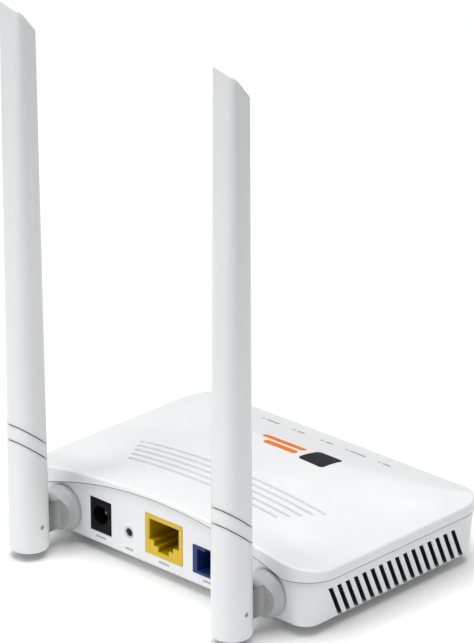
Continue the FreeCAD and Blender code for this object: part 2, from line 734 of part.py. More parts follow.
def heat_sink():
    """A finned block on the main chip, with a soft pad between them."""
    (x, y), size = BOARD_PARTS["soc_chip"]
    low = f"{BOARD_TOP} + {size[2]}"
    pad = on_board("thermal_pad", (x, y), ("pad_width", "pad_width", "pad_thick"), low)
    keep(pad, "thermal_pad")
    in_case(pad, f"{x} - pad_width / 2", f"{y} - pad_width / 2", low)
    body = new_body("heat_sink")
    base = new_sketch(body, "sink_outline", "XY_Plane", f"{low} + pad_thick")
    left, right = f"{x} - sink_width / 2", f"{x} + sink_width / 2"
    front, rear = f"{y} - sink_width / 2", f"{y} + sink_width / 2"
    outline(base, [(left, front), (right, front), (right, rear), (left, rear)])
    feature(body, "Pad", base, "sink_height")
    gap = new_sketch(body, "sink_gap", "XY_Plane", f"{low} + pad_thick + sink_base")
    left, right = f"{left} + fin_thick", f"{left} + fin_thick + fin_gap"
    outline(gap, [(left, front), (right, front), (right, rear), (left, rear)])
    pocket = feature(body, "Pocket", gap, "sink_height", reverse=True)
    row(body, pocket, "X_Axis", "fin_thick + fin_gap", "fin_gaps")
    in_case(body)


def shield_can():
    """The stamped cover over the radio chip, open underneath."""
    middle = BOARD_PARTS["wifi_chip"][0]
    outer = on_board("can_outside", middle, ("can_width", "can_depth", "can_height"))
    inner = on_board("can_inside", middle, [f"can_{size} - {walls} * can_wall" for size, walls in
                                            (("width", 2), ("depth", 2), ("height", 1))])
    edge = number(f"{BOARD_TOP} + can_height")
    soft = soften("can_soft_shell", outer, "can_soft", lambda line: line.BoundBox.ZMax > edge - 0.01)
    made = cut("shield_can", soft, inner)
    in_case(made)
    keep(made, "shield_can")


def power_parts():
    cans = []
    for name, ((x, y), radius, height) in CANS.items():
        can = rod(name, radius, height, (x, y, BOARD_TOP))
        cans.append(soften(f"{name}_soft", can, "capacitor_soft", lambda line: line.BoundBox.ZLength < 0.01))
    group("electrolytic_capacitors", cans)
    coils = []
    for name in ("input_coil", "core_coil"):
        coil = plain_part(name)
        coils.append(soften(f"{name}_soft", coil, "coil_soft", lambda line: line.BoundBox.ZLength > 1))
    group("power_inductors", coils)
    group("crystals", [plain_part(name) for name in ("main_crystal", "radio_crystal")])


def ceramic_capacitors():
    """Small chip capacitors in two rows beside the main chip and one by the memory."""
    parts = []
    for name, (x, y) in CERAMIC_ROWS.items():
        for i in range(CERAMIC_COUNT):
            parts.append(on_board(f"{name}_{i}", (x, y - CERAMIC_PITCH * i), CERAMIC_SIZE))
    group("ceramic_capacitors", parts)


def status_leds():
    size = ("led_width", "led_depth", "led_height")
    leds = [on_board(f"led_{i}", (x, "-light_y"), size) for i, x in enumerate(light_places())]
    group("status_leds", leds)


def light_pipe():
    """A clear comb: each finger takes light from a diode up and forward to a window in the rim."""
    body = new_body("light_pipe")
    bar = new_sketch(body, "pipe_bar", "XY_Plane", "pipe_bar_low")
    left = "light_right - (light_count - 1) * light_pitch - light_width / 2"
    right = "light_right + light_width / 2"
    front, rear = "-light_y - pipe_depth / 2", "-light_y + pipe_depth / 2"
    outline(bar, [(left, front), (right, front), (right, rear), (left, rear)])
    feature(body, "Pad", bar, "pipe_bar_thick")
    finger = new_sketch(body, "pipe_finger", "YZ_Plane", "light_right")
    foot = f"{BOARD_TOP} + pipe_gap"
    outline(finger, [(front, foot), (rear, foot), (rear, "pipe_high - pipe_bevel"),
                     (f"{rear} - pipe_bevel", "pipe_high"), ("-rim_front", "pipe_high"),
                     ("-rim_front", "pipe_low"), (front, "pipe_low")])
    pad = feature(body, "Pad", finger, "light_width", both_ways=True)
    row(body, pad, "X_Axis", "light_pitch", "light_count", reverse=True)
    in_case(body)


# Ports

def ethernet_jack():
    """The yellow socket, open to the rear, with its latch notch at the bottom."""
    body = new_body("ethernet_jack")
    sketch = new_sketch(body, "jack_face", "XZ_Plane", "-port_proud")
    top = f"{BOARD_TOP} + lan_height"
    outline(sketch, [("-lan_width / 2", BOARD_TOP), ("lan_width / 2", BOARD_TOP),
                     ("lan_width / 2", top), ("-lan_width / 2", top)])
    feature(body, "Pad", sketch, "lan_deep")
    cavity = new_sketch(body, "jack_cavity", "XZ_Plane", "-port_proud - 1")
    half = "lan_cavity / 2"
    notch_low, step_low, low, high = [
        f"{BOARD_TOP} + {height}" for height in ("lan_notch_low", "lan_step_low", "lan_floor", "lan_roof")]
    outline(cavity, [
        ("-lan_notch", notch_low), ("lan_notch", notch_low), ("lan_notch", step_low), ("lan_step", step_low),
        ("lan_step", low), (half, low), (half, high), (f"-{half}", high),
        (f"-{half}", low), ("-lan_step", low), ("-lan_step", step_low), ("-lan_notch", step_low),
    ])
    pocket = feature(body, "Pocket", cavity, "lan_cavity_deep + 1", reverse=True)
    face = number("port_proud")
    widest = number("lan_cavity") + 0.1
    tallest = number("lan_roof - lan_floor") - 0.1
    round_edges(body, pocket, "lan_bevel", lambda edge: edge.BoundBox.YMin > face - 0.01
                and tallest < edge.Length < widest, "Chamfer")
    in_case(body)


def ethernet_contacts():
    """Eight sprung wires that slope down from the socket's roof."""
    wires = []
    for i in range(SIZES["contact_count"]):
        middle = f"({i} - (contact_count - 1) / 2) * contact_pitch"
        wire = doc.addObject("Part::Box", f"contact_{i}")
        bind(wire, "Length", "contact_width")
        bind(wire, "Width", "contact_length")
        bind(wire, "Height", "contact_thick")
        wire.Placement.Rotation = Rotation(Vector(1, 0, 0), number("contact_tilt"))
        bind(wire, ".Placement.Base.x", f"{middle} - contact_width / 2")
        bind(wire, ".Placement.Base.y", "-contact_back")
        bind(wire, ".Placement.Base.z", f"{BOARD_TOP} + contact_rise")
        wires.append(wire)
    group("ethernet_contacts", wires)


def dc_jack():
    """The black power socket, with a round bore and a centre pin."""
    body = new_body("dc_jack")
    sketch = new_sketch(body, "dc_face", "XZ_Plane", "-port_proud")
    top = f"{BOARD_TOP} + dc_height"
    left, right = "dc_x - dc_width / 2", "dc_x + dc_width / 2"
    outline(sketch, [(left, BOARD_TOP), (right, BOARD_TOP), (right, top), (left, top)])
    pad = feature(body, "Pad", sketch, "dc_deep")
    face = number("port_proud")
    round_edges(body, pad, "dc_bevel", lambda edge: edge.BoundBox.YMin > face - 0.01, "Chamfer")
    bore = new_sketch(body, "dc_bore_edge", "XZ_Plane", "-port_proud - 1")
    circle(bore, "dc_x", f"{BOARD_TOP} + dc_middle", "dc_bore")
    feature(body, "Pocket", bore, "dc_bore_deep + 1", reverse=True)
    in_case(body)
    tip = ("dc_x", "port_proud - dc_pin_back", f"{BOARD_TOP} + dc_middle")
    pin = rod("dc_jack_pin_rod", "dc_pin", "dc_bore_deep - dc_pin_back", tip, TO_FRONT)
    near = number(tip[1]) - 0.1
    soft = soften("dc_jack_pin", pin, "dc_pin_soft", lambda edge: edge.BoundBox.YMin > near and edge.Closed)
    in_case(soft)
    keep(soft, "dc_jack_pin")


def fibre_adapter():
    """The blue fibre socket: a square mouth with a key slot, and a ceramic sleeve in the middle."""
    body = new_body("fibre_adapter")
    sketch = new_sketch(body, "adapter_face", "XZ_Plane", "-port_proud")
    left, right = "-fibre_x - fibre_width / 2", "-fibre_x + fibre_width / 2"
    top = f"{BOARD_TOP} + fibre_height"
    outline(sketch, [(left, BOARD_TOP), (right, BOARD_TOP), (right, top), (left, top)])
    feature(body, "Pad", sketch, "fibre_deep")
    mouth = new_sketch(body, "adapter_mouth", "XZ_Plane", "-port_proud - 1")
    half = "fibre_mouth / 2"
    low = f"{BOARD_TOP} + (fibre_height - fibre_mouth_height) / 2"
    high = f"{low} + fibre_mouth_height"
    key_left, key_right = "-fibre_x - fibre_key", "-fibre_x + fibre_key"
    key_top = f"{high} + fibre_key_deep"
    outline(mouth, [(f"-fibre_x - {half}", low), (f"-fibre_x + {half}", low), (f"-fibre_x + {half}", high),
                    (key_right, high), (key_right, key_top), (key_left, key_top), (key_left, high),
                    (f"-fibre_x - {half}", high)])
    feature(body, "Pocket", mouth, "fibre_mouth_deep + 1", reverse=True)
    middle = f"{BOARD_TOP} + fibre_height / 2"
    seat = new_sketch(body, "sleeve_seat", "XZ_Plane", "sleeve_back + 3")
    circle(seat, "-fibre_x", middle, "sleeve_radius + sleeve_fit")
    feature(body, "Pocket", seat, "fibre_deep", reverse=True)
    in_case(body)
    front = ("-fibre_x", "-sleeve_back", middle)
    outside = rod("sleeve_outside", "sleeve_radius", "sleeve_length", front, TO_FRONT)
    opening = ("-fibre_x", "0.5 - sleeve_back", middle)
    inside = rod("sleeve_inside", "sleeve_bore", "sleeve_bore_deep + 0.5", opening, TO_FRONT)
    sleeve = cut("adapter_sleeve", outside, inside)
    in_case(sleeve)
    keep(sleeve, "adapter_sleeve")


def optical_module():
    """The metal can behind the fibre socket, on a small block."""
    middle = f"{BOARD_TOP} + fibre_height / 2"
    end = "-fibre_deep + port_proud"
    can = f"{end} - module_back"
    block_rear = f"{can} - 1"
    across = ("-fibre_x - module_block / 2", "-fibre_x + module_block / 2")
    parts = [rod("module_stem", "module_neck", "module_neck_length", ("-fibre_x", end, middle), TO_FRONT),
             rod("module_can", "module_radius", "module_length", ("-fibre_x", can, middle), TO_FRONT),
             block("module_stand", across, (f"{block_rear} - module_block_deep", block_rear),
                   (BOARD_TOP, f"{middle} - 0.5"))]
    made = fuse("optical_module", parts)
    in_case(made)
    keep(made, "optical_module")


def reset_switch():
    """The small switch behind the reset hole, with a plunger that a pin pushes in."""
    rear = "-wall - switch_back"
    buried = "plunger_length - (switch_back - plunger_back)"
    across = ("reset_x - switch_width / 2", "reset_x + switch_width / 2")
    along = (f"{rear} - switch_deep", rear)
    whole = block("switch_block", across, along, (BOARD_TOP, "reset_z + switch_above"))
    room = f"{buried} + plunger_travel + 0.15"
    bore = rod("switch_bore", "plunger_radius + fit", room, ("reset_x", rear, "reset_z"), TO_FRONT)
    made = cut("reset_switch", whole, bore)
    in_case(made)
    keep(made, "reset_switch")
    tip = "-wall - plunger_back"
    plunger = rod("plunger_rod", "plunger_radius", "plunger_length", ("reset_x", tip, "reset_z"), TO_FRONT)
    near = number(tip) - 0.1
    soft = soften("reset_plunger", plunger, "plunger_soft",
                  lambda edge: edge.BoundBox.YMin > near and edge.Closed)
    in_case(soft)
    keep(soft, "reset_plunger")


# Antenna leads

def route(points, radius):
    """A round lead along straight runs joined by arcs, each as large as its two runs allow."""
    corners = [Vector(*point) for point in points]
    start = corners[0]
    edges = []
    for before, here, after in zip(corners, corners[1:], corners[2:]):
        back, ahead = before - here, after - here
        half_turn = (math.pi - back.getAngle(ahead)) / 2
        inset = 0.45 * min(back.Length, ahead.Length)
        bend = inset / math.tan(half_turn)
        into = here + back.normalize() * inset
        out = here + ahead.normalize() * inset
        towards = (back + ahead).normalize()
        nearest = here + towards * (bend / math.cos(half_turn) - bend)
        edges += [Part.makeLine(start, into), Part.Arc(into, nearest, out).toShape()]
        start = out
    edges.append(Part.makeLine(start, corners[-1]))
    path = Part.Wire(edges)
    direction = corners[1] - corners[0]
    profile = Part.Wire([Part.makeCircle(radius, corners[0], direction)])
    lead = path.makePipeShell([profile], True, True)
    if abs(lead.Volume / (math.pi * radius ** 2 * path.Length) - 1) > 0.01:
        raise SystemExit("an antenna lead was not swept evenly along its route")
    return lead


# Where each board lead meets its plug, how far it stays from the knuckle's shaft, and the corners it
# passes on the way: distance from the middle, y, and height above the board. It ends beside its plug.
PLUG_X, PLUG_Y = 36.5, -27
LEAD_GAP = 0.5
LEAD_ROUTE = [(44, -12.5, 3.6), (43.6, -18.5, 2.7), (41.4, -23.8, 1.4), (PLUG_X + 1.16, PLUG_Y + 0.76, 1.1)]


def case_leads():
    """The two leads from the board to the antenna shafts, and their small connectors."""
    connectors = []
    leads = []
    top = number(BOARD_TOP)
    for name, side in SIDES.items():
        x, y = side * PLUG_X, PLUG_Y
        ring = [rod(f"{name}_plug", "plug_radius", "plug_height", (x, y, BOARD_TOP)),
                on_board(f"{name}_socket_base", (x, y), ("plug_base", "plug_base", "plug_base_height"))]
        connectors.append(fuse(f"{name}_connector", ring))
        shaft = (side * number("antenna_x"), -number("shaft_end") - LEAD_GAP, number("pin_z"))
        points = [shaft] + [(side * x, y, top + above) for x, y, above in LEAD_ROUTE]
        leads.append(route(points, number("coax_radius")))
    group("coax_connectors", connectors)
    made = doc.addObject("Part::Feature", "board_coax")
    made.Shape = Part.makeCompound(leads)
    in_case(made)
    keep(made, "board_coax")


# Antennas and their knuckles. Their frame has its origin on the hinge pin's axis.

def at_pin(thing, side, x="0", y="0", z="0"):
    in_case(thing, f"{side} * antenna_x + ({x})", f"antenna_reach + ({y})", f"pin_z + ({z})")


def antenna_section(sketch, width, thick, radius):
    across = (f"-({width}) / 2", f"({width}) / 2")
    rounded_outline(sketch, across, (f"-({thick}) / 2", f"({thick}) / 2"), radius)


def antenna_blank(body, name):
    """The antenna's whole outer form, round at the foot and flatter at the tip."""
    low = new_sketch(body, f"{name}_foot", "XY_Plane", "-pin_drop")
    antenna_section(low, "antenna_width", "antenna_width", "antenna_round")
    high = new_sketch(body, f"{name}_tip", "XY_Plane", "antenna_length - pin_drop")
    antenna_section(high, "tip_width", "tip_thick", "tip_round")
    return loft(body, "AdditiveLoft", low, high)


def antenna_hollow(body, name):
    """The space inside the antenna, which stops short of the tip."""
    low = new_sketch(body, f"{name}_hollow_low", "XY_Plane", "-pin_drop")
    inner = "antenna_width - 2 * antenna_wall"
    antenna_section(low, inner, inner, "antenna_round - antenna_wall")
    high = new_sketch(body, f"{name}_hollow_high", "XY_Plane", "antenna_length - pin_drop - tip_solid")
    antenna_section(high, "tip_width - 2 * antenna_wall + 0.2", "tip_thick - 2 * antenna_wall + 0.3",
                    "tip_round - antenna_wall")
    loft(body, "SubtractiveLoft", low, high)


def slice_antenna(body, name, line, keep_above):
    """Cuts the antenna along a plane that slopes up to the rear, through a height on its axis."""
    reach = "8"
    edge = [(f"-{reach}", f"{line} - line_slope * {reach}"), (reach, f"{line} + line_slope * {reach}")]
    if keep_above:
        corners = [(f"-{reach}", "-pin_drop - 20"), (reach, "-pin_drop - 20"), edge[1], edge[0]]
    else:
        corners = [edge[0], edge[1], (reach, "antenna_length + 20"), (f"-{reach}", "antenna_length + 20")]
    sketch = new_sketch(body, f"{name}_slice", "YZ_Plane")
    outline(sketch, corners)
    feature(body, "Pocket", sketch, "20", both_ways=True)


def foot_round(body, name):
    """Rounds the antenna's lower end by turning a corner off it."""
    corner = new_sketch(body, f"{name}_foot_corner", "XZ_Plane")
    edge = "antenna_width / 2"
    outline(corner, [(f"{edge} - end_round", "-pin_drop - 1"), (f"{edge} + 1", "-pin_drop - 1"),
                     (f"{edge} + 1", "end_round - pin_drop"), (edge, "end_round - pin_drop"),
                     (f"{edge} - end_round", "-pin_drop")], {3: "-end_round"})
    made = body.newObject("PartDesign::Groove", f"{name}_foot_round")
    made.Profile = corner
    made.ReferenceAxis = (corner, ["V_Axis"])
    made.Angle = 360
    doc.recompute()


def antenna_base(name, side):
    """The antenna's foot: a fork that straddles the knuckle's tongue, and a spigot on top."""
    body = new_body(f"{name}_antenna_base")
    antenna_blank(body, f"{name}_base")
    foot_round(body, name)
    slice_antenna(body, f"{name}_base", "line_low - line_gap / 2", keep_above=False)
    spigot = new_sketch(body, f"{name}_spigot", "XY_Plane", "hollow_low")
    circle(spigot, "0", "0", "spigot_radius")
    feature(body, "Pad", spigot, "spigot_top - hollow_low")
    hollow = new_sketch(body, f"{name}_base_hollow", "XY_Plane", "spigot_top")
    circle(hollow, "0", "0", "hollow_radius")
    feature(body, "Pocket", hollow, "spigot_top - hollow_low")
    channel = new_sketch(body, f"{name}_base_channel", "XY_Plane", "hollow_low")
    circle(channel, "0", "0", "coax_bore + 0.2")
    feature(body, "Pocket", channel, "hollow_low")
    gap = "tongue_radius + slot_clear"
    fork = new_sketch(body, f"{name}_fork", "YZ_Plane")
    outline(fork, [("-antenna_width", "-pin_drop - 2"), (gap, "-pin_drop - 2"), (gap, "0"), ("0", gap),
                   ("-antenna_width", gap)], {2: gap})
    feature(body, "Pocket", fork, "2 * (tongue_half + slot_clear)", both_ways=True)
    pin_hole = new_sketch(body, f"{name}_pin_hole", "YZ_Plane")
    circle(pin_hole, "0", "0", "pin_radius")
    feature(body, "Pocket", pin_hole, "20", both_ways=True)
    at_pin(body, side)


def antenna_ring(name, side):
    """The thin trim ring between the two lines around the antenna."""
    body = new_body(f"{name}_antenna_ring")
    antenna_blank(body, f"{name}_ring")
    antenna_hollow(body, f"{name}_ring")
    slice_antenna(body, f"{name}_ring_low", "line_low + line_gap / 2", keep_above=True)
    slice_antenna(body, f"{name}_ring_high", "line_high - line_gap / 2", keep_above=False)
    at_pin(body, side)


def antenna_sleeve(name, side):
    """The long hollow upper part, with its tip cut off aslant, highest at its rear left corner."""
    body = new_body(f"{name}_antenna_sleeve")
    antenna_blank(body, f"{name}_sleeve")
    antenna_hollow(body, f"{name}_sleeve")
    slice_antenna(body, f"{name}_sleeve", "line_high + line_gap / 2", keep_above=True)
    tip = new_sketch(body, f"{name}_slant", "YZ_Plane")
    tip.AttachmentOffset = FreeCAD.Placement(Vector(), Rotation(Vector(0, 1, 0), -number("tip_turn")))
    top = "antenna_length - pin_drop"
    corner_x, corner_y = "(tip_width / 2 - tip_round)", "(tip_thick / 2 - tip_round)"
    highest = f"(tip_round + {corner_y} * cos(tip_turn) + {corner_x} * sin(tip_turn))"
    reach = "antenna_width"
    outline(tip, [(f"-{reach}", f"{top} - tip_slope * ({reach} + {highest})"),
                  (reach, f"{top} + tip_slope * ({reach} - {highest})"),
                  (reach, f"{top} + 2 * {reach}"), (f"-{reach}", f"{top} + 2 * {reach}")])
    slant = feature(body, "Pocket", tip, "20", both_ways=True)
    near_tip = number(f"{top} - tip_solid")
    round_edges(body, slant, "tip_soft", lambda edge: edge.BoundBox.ZMin > near_tip and not vertical(edge))
    at_pin(body, side)


def vertical(edge):
    """Whether an edge runs along the antenna."""
    box = edge.BoundBox
    return box.ZLength > 3 * max(box.XLength, box.YLength)


def antenna_inside(name, side):
    """The lead inside the antenna, its radiating tube and the two stub pins of the hinge."""
    lead = rod(f"{name}_antenna_coax", "coax_radius", "antenna_lead", ("0", "0", "antenna_lead_low"))
    keep(lead, f"{name}_antenna_coax")
    at_pin(lead, side, z="antenna_lead_low")
    foot, top = ("0", "0", "radiator_low"), ("0", "0", "radiator_low + radiator_length")
    tube = [rod(f"{name}_radiator_outside", "radiator_radius", "radiator_length", foot),
            rod(f"{name}_radiator_tip", "rod_radius", "rod_length", top)]
    bore_deep = "antenna_lead_low + antenna_lead - radiator_low + fit"
    bore = rod(f"{name}_radiator_hole", "radiator_bore", bore_deep, foot)
    radiator = cut(f"{name}_radiator", fuse(f"{name}_radiator_whole", tube), bore)
    at_pin(radiator, side)
    keep(radiator, f"{name}_radiator")
    inner, outer = "tongue_half - pin_clear", "antenna_width / 2 - pin_cover"
    length = f"{outer} - ({inner})"
    pins = [rod(f"{name}_outer_pin", "pin_radius", length, (inner, "0", "0"), TO_RIGHT),
            rod(f"{name}_inner_pin", "pin_radius", length, (f"-({outer})", "0", "0"), TO_RIGHT)]
    pair = group(f"{name}_hinge_pins", pins)
    at_pin(pair, side)


def knuckle(name, side):
    """The swivel: a domed disc on the rear panel, a tongue for the antenna and a hollow shaft."""
    body = new_body(f"{name}_knuckle")
    panel = "-antenna_reach"
    shape = new_sketch(body, f"{name}_knuckle_profile", "YZ_Plane")
    disc = f"{panel} + dome_gap"
    groove = f"{panel} - wall - dome_gap"
    end = f"{panel} - shaft_end"
    hood = f"{panel} + hood_reach"
    behind_clip = f"{groove} - clip_thick - fit"
    outline(shape, [
        (end, "0"), (hood, "0"), (hood, "hood_radius"),
        (f"{panel} + dome_thick", "dome_radius - 0.6"), (f"{disc} + 1", "dome_radius"), (disc, "dome_radius"),
        (disc, "shaft_radius"), (groove, "shaft_radius"), (groove, "clip_groove"),
        (behind_clip, "clip_groove"), (behind_clip, "shaft_radius - 0.1"), (end, "shaft_radius - 0.6"),
    ])
    turned = revolve(body, shape, "H_Axis")
    crown = number(hood)
    round_edges(body, turned, "hood_soft", lambda edge: edge.Closed and abs(edge.BoundBox.YMin - crown) < 0.01
                and edge.BoundBox.YLength < 0.01)
    for edge_side in (1, -1):
        clear = new_sketch(body, f"{name}_clear_{'a' if edge_side > 0 else 'b'}", "YZ_Plane",
                           f"{edge_side} * tongue_half")
        start = "-sqrt(sweep_radius ^ 2 - hood_low ^ 2)"
        outline(clear, [(start, "hood_low"), ("0", "-sweep_radius"), ("0", "hood_low")], {0: "sweep_radius"})
        feature(body, "Pocket", clear, "8", reverse=edge_side > 0)
    tongue = new_sketch(body, f"{name}_tongue", "YZ_Plane")
    root, knee = f"{panel} + 1.2", f"{panel} + 3.3"
    under_hood = f"{hood} - 1"
    outline(tongue, [
        (root, "-7"), (f"{knee} - 1", "-7"), (knee, "-tongue_radius"),
        ("0", "-tongue_radius"), ("tongue_radius", "0"), ("0", "tongue_radius"),
        (under_hood, "tongue_radius"), (under_hood, "hood_low + 0.1"), (root, "hood_low + 0.1"),
    ], {3: "tongue_radius", 4: "tongue_radius"})
    feature(body, "Pad", tongue, "2 * tongue_half", both_ways=True)
    under = new_sketch(body, f"{name}_under", "YZ_Plane")
    outline(under, [(knee, "-10"), ("0", "-10"), ("0", "-tongue_radius"), (knee, "-tongue_radius")])
    feature(body, "Pocket", under, "20", both_ways=True)
    bores = new_sketch(body, f"{name}_pin_bores", "YZ_Plane")
    circle(bores, "0", "0", "pin_radius + fit")
    feature(body, "Pocket", bores, "20", both_ways=True)
    window = new_sketch(body, f"{name}_lead_window", "YZ_Plane")
    outline(window, [("-1.4", "-1.4"), ("9", "-1.4"), ("9", "9"), ("-1.4", "9")])
    feature(body, "Pocket", window, "2 * coax_bore + 0.4", both_ways=True)
    channel = new_sketch(body, f"{name}_lead_channel", "XZ_Plane", "1")
    circle(channel, "0", "0", "coax_bore")
    feature(body, "Pocket", channel, "antenna_reach + shaft_end + 2", reverse=True)
    at_pin(body, side)


def knuckle_parts(name, side):
    """The ring that holds the shaft inside the case, and the lead through the shaft."""
    groove = "-antenna_reach - wall - dome_gap"
    disc = rod(f"{name}_clip_disc", "clip_radius", "clip_thick", ("0", groove, "0"), TO_FRONT)
    rear = ("0", f"{groove} + 1", "0")
    hole = rod(f"{name}_clip_hole", "clip_groove + 0.02", "clip_thick + 2", rear, TO_FRONT)
    mouth = block(f"{name}_clip_gap", ("-clip_mouth / 2", "clip_mouth / 2"),
                  (f"{groove} - clip_thick - 1", f"{groove} + 1"), ("0", "clip_radius + 1"))
    clip = cut(f"{name}_knuckle_clip", cut(f"{name}_clip_ring", disc, hole), mouth)
    at_pin(clip, side)
    keep(clip, f"{name}_knuckle_clip")
    length = "antenna_reach + shaft_end - knuckle_lead_back"
    lead = rod(f"{name}_knuckle_coax", "coax_radius", length, ("0", "-knuckle_lead_back", "0"), TO_FRONT)
    keep(lead, f"{name}_knuckle_coax")
    at_pin(lead, side, y="-knuckle_lead_back")


def antennas():
    for name, side in SIDES.items():
        knuckle(name, side)
        knuckle_parts(name, side)
        antenna_base(name, side)
        antenna_ring(name, side)
        antenna_sleeve(name, side)
        antenna_inside(name, side)


def check_document():
    """Stops if any object failed or any sub-part has no sound shape."""
    doc.recompute()
    failed = [thing.Name for thing in doc.Objects if {"Invalid", "Error"} & set(thing.State)]
    broken = [thing.Label for thing in nodes if thing.Shape.isNull() or not thing.Shape.isValid()]
    if failed or broken:
        raise SystemExit(f"failed objects: {failed}; sub-parts without a sound shape: {broken}")


def export():
    os.makedirs("parts", exist_ok=True)
    for thing in nodes:
        thing.Shape.exportStep(f"parts/{thing.Label}.step")


fill_sheet()
bottom_case()
top_cover()
rubber_feet()
screws()
rating_label()
main_board()
chips()
heat_sink()
shield_can()
power_parts()
ceramic_capacitors()
status_leds()
light_pipe()
ethernet_jack()
ethernet_contacts()
dc_jack()
fibre_adapter()
optical_module()
reset_switch()
case_leads()
antennas()
check_document()
export()
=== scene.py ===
import json
import math

import bmesh
import bpy
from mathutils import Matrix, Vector
from mathutils.bvhtree import BVHTree


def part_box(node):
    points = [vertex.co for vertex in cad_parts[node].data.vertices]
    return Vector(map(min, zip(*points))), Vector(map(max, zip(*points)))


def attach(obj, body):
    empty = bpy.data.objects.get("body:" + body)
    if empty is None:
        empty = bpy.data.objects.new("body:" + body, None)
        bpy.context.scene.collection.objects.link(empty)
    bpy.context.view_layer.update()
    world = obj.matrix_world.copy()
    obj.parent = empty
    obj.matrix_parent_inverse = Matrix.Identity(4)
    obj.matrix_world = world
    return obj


# The looks of an optical network terminal. Metres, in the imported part's own frame: +Z up, the rear
# panel with its ports and antennas towards +Y.

MM = 0.001

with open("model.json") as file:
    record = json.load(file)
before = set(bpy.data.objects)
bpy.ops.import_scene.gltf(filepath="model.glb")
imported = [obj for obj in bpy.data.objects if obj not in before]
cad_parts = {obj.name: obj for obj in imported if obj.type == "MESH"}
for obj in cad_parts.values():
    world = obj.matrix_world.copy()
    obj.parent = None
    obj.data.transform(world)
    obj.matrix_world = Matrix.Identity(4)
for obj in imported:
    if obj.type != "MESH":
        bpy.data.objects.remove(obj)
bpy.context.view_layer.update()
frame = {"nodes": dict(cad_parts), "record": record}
nodes = frame["nodes"]

case_low, case_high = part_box("bottom_case")
panel_y = case_high.y
board_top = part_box("main_board")[1].z


# Node helpers

def new_material(name):
    """A material with its node tree and its shader."""
    material = bpy.data.materials.new(name)
    material.use_nodes = True
    return material, material.node_tree, material.node_tree.nodes["Principled BSDF"]


def coordinates(tree, stretch=(1, 1, 1)):
    """Places on the piece in metres, stretched along each axis."""
    source = tree.nodes.new("ShaderNodeTexCoord")
    mapping = tree.nodes.new("ShaderNodeMapping")
    mapping.inputs["Scale"].default_value = stretch
    tree.links.new(source.outputs["Object"], mapping.inputs["Vector"])
    return mapping.outputs["Vector"]


def noise(tree, place, scale, detail=2.0, roughness=0.5):
    """Soft noise over a piece."""
    texture = tree.nodes.new("ShaderNodeTexNoise")
    texture.inputs["Scale"].default_value = scale
    texture.inputs["Detail"].default_value = detail
    texture.inputs["Roughness"].default_value = roughness
    tree.links.new(place, texture.inputs["Vector"])
    return texture.outputs["Fac"]


def ramp(tree, value, stops):
    """Colours along a value, as (place, colour) stops."""
    made = tree.nodes.new("ShaderNodeValToRGB")
    elements = made.color_ramp.elements
    for element, (place, colour) in zip(elements, stops):
        element.position = place
        element.color = (*colour, 1)
    for place, colour in stops[2:]:
        element = elements.new(place)
        element.color = (*colour, 1)
    tree.links.new(value, made.inputs["Fac"])
    return made.outputs["Color"]


def spread(tree, value, low, high):
    """A noise value, which mostly lies from 0.3 to 0.7, turned into a range of numbers."""
    made = tree.nodes.new("ShaderNodeMapRange")
    made.inputs["From Min"].default_value = 0.3
    made.inputs["From Max"].default_value = 0.7
    made.inputs["To Min"].default_value = low
    made.inputs["To Max"].default_value = high
    tree.links.new(value, made.inputs["Value"])
    return made.outputs["Result"]


def bump(tree, shader, height, distance):
    """Raises a surface by a value, up to a distance."""
    made = tree.nodes.new("ShaderNodeBump")
    made.inputs["Distance"].default_value = distance
    tree.links.new(height, made.inputs["Height"])
    tree.links.new(made.outputs["Normal"], shader.inputs["Normal"])


def tint(colour, amount):
    """A colour made lighter or darker."""
    return tuple(min(part * amount, 1) for part in colour)


def calc(tree, operation, *values):
    """Arithmetic on numbers and on other nodes' results."""
    made = tree.nodes.new("ShaderNodeMath")
    made.operation = operation
    for socket, value in zip(made.inputs, values):
        if isinstance(value, (int, float)):
            socket.default_value = value
        else:
            tree.links.new(value, socket)
    return made.outputs["Value"]


def between(tree, value, low, high):
    """1 where a value lies between two limits, and 0 elsewhere."""
    above = calc(tree, "GREATER_THAN", value, low)
    return calc(tree, "MULTIPLY", above, calc(tree, "LESS_THAN", value, high))


def all_of(tree, first, *others):
    """1 where every mask is 1."""
    for mask in others:
        first = calc(tree, "MULTIPLY", first, mask)
    return first


def axes(tree):
    """The x, y and z of places on the piece."""
    parts = tree.nodes.new("ShaderNodeSeparateXYZ")
    tree.links.new(coordinates(tree), parts.inputs["Vector"])
    return parts.outputs["X"], parts.outputs["Y"], parts.outputs["Z"]


def darken(material, mask, amount):
    """Paints shade: multiplies a material's colour by an amount where a mask is 1."""
    tree = material.node_tree
    colour = tree.nodes["Principled BSDF"].inputs["Base Color"]
    made = tree.nodes.new("ShaderNodeVectorMath")
    made.operation = "SCALE"
    tree.links.new(colour.links[0].from_socket, made.inputs[0])
    kept = calc(tree, "SUBTRACT", 1, calc(tree, "MULTIPLY", mask, 1 - amount))
    tree.links.new(kept, made.inputs["Scale"])
    tree.links.new(made.outputs["Vector"], colour)


# Materials

def moulded(name, colour, rough=(0.3, 0.4), vary=0.03, grain=1800, depth=0.006 * MM, shine=0.5,
            stretch=(1, 1, 1)):
    """Moulded plastic: a slow drift of shade, a patchy sheen and a fine spark-eroded grain."""
    material, tree, shader = new_material(name)
    place = coordinates(tree, stretch)
    drift = noise(tree, place, scale=45, detail=3)
    shade = ramp(tree, drift, [(0.3, tint(colour, 1 - vary)), (0.7, tint(colour, 1 + vary / 3))])
    tree.links.new(shade, shader.inputs["Base Color"])
    patches = noise(tree, place, scale=240)
    tree.links.new(spread(tree, patches, *rough), shader.inputs["Roughness"])
    bump(tree, shader, noise(tree, place, scale=grain, detail=1), depth)
    shader.inputs["Specular IOR Level"].default_value = shine
    return material


